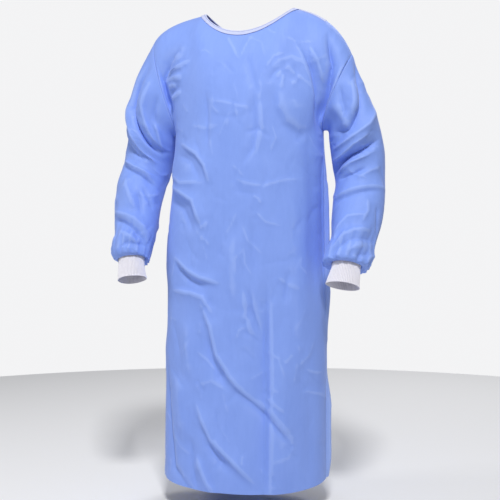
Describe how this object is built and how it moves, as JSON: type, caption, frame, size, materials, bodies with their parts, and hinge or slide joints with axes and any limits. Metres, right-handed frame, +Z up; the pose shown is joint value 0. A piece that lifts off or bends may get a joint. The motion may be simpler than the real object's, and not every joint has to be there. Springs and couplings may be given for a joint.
{
  "type": "surgical gown",
  "caption": "Long back-opening surgical gown in worn, hollow form, with long sleeves, ribbed cuffs, bound neckline and waist ties knotted at the lapped back.",
  "frame": {"origin": "midway between the neck ends of the two shoulder seams, where the wearer's shoulders carry the gown; the hem hangs below it", "axes": "+Z up along the wearer, -Y out of the front, +X towards the wearer's left sleeve"},
  "size_m": [0.7344, 0.3063, 1.2457],
  "materials": {
    "front_cloth": "blue non-woven, laminated front",
    "back_cloth": "lighter blue non-woven, one layer",
    "sleeve_cloth": "blue non-woven",
    "rib_knit": "white ribbed knit",
    "binding": "thin white non-woven tape, stitched",
    "hook_tab": "white hook-and-loop tape",
    "tie_cloth": "folded blue non-woven tie"
  },
  "bodies": {
    "root": {"front": "front_cloth", "back_left": "back_cloth", "back_right": "back_cloth", "sleeve_left": "sleeve_cloth", "sleeve_right": "sleeve_cloth", "cuff_left": "rib_knit", "cuff_right": "rib_knit", "neck_binding": "binding", "shoulder_tape": "binding", "neck_tab": "hook_tab", "tie_left": "tie_cloth", "tie_right": "tie_cloth", "tie_tail_left": "tie_cloth", "tie_tail_right": "tie_cloth", "tie_knot": "tie_cloth"}
  },
  "joints": []
}
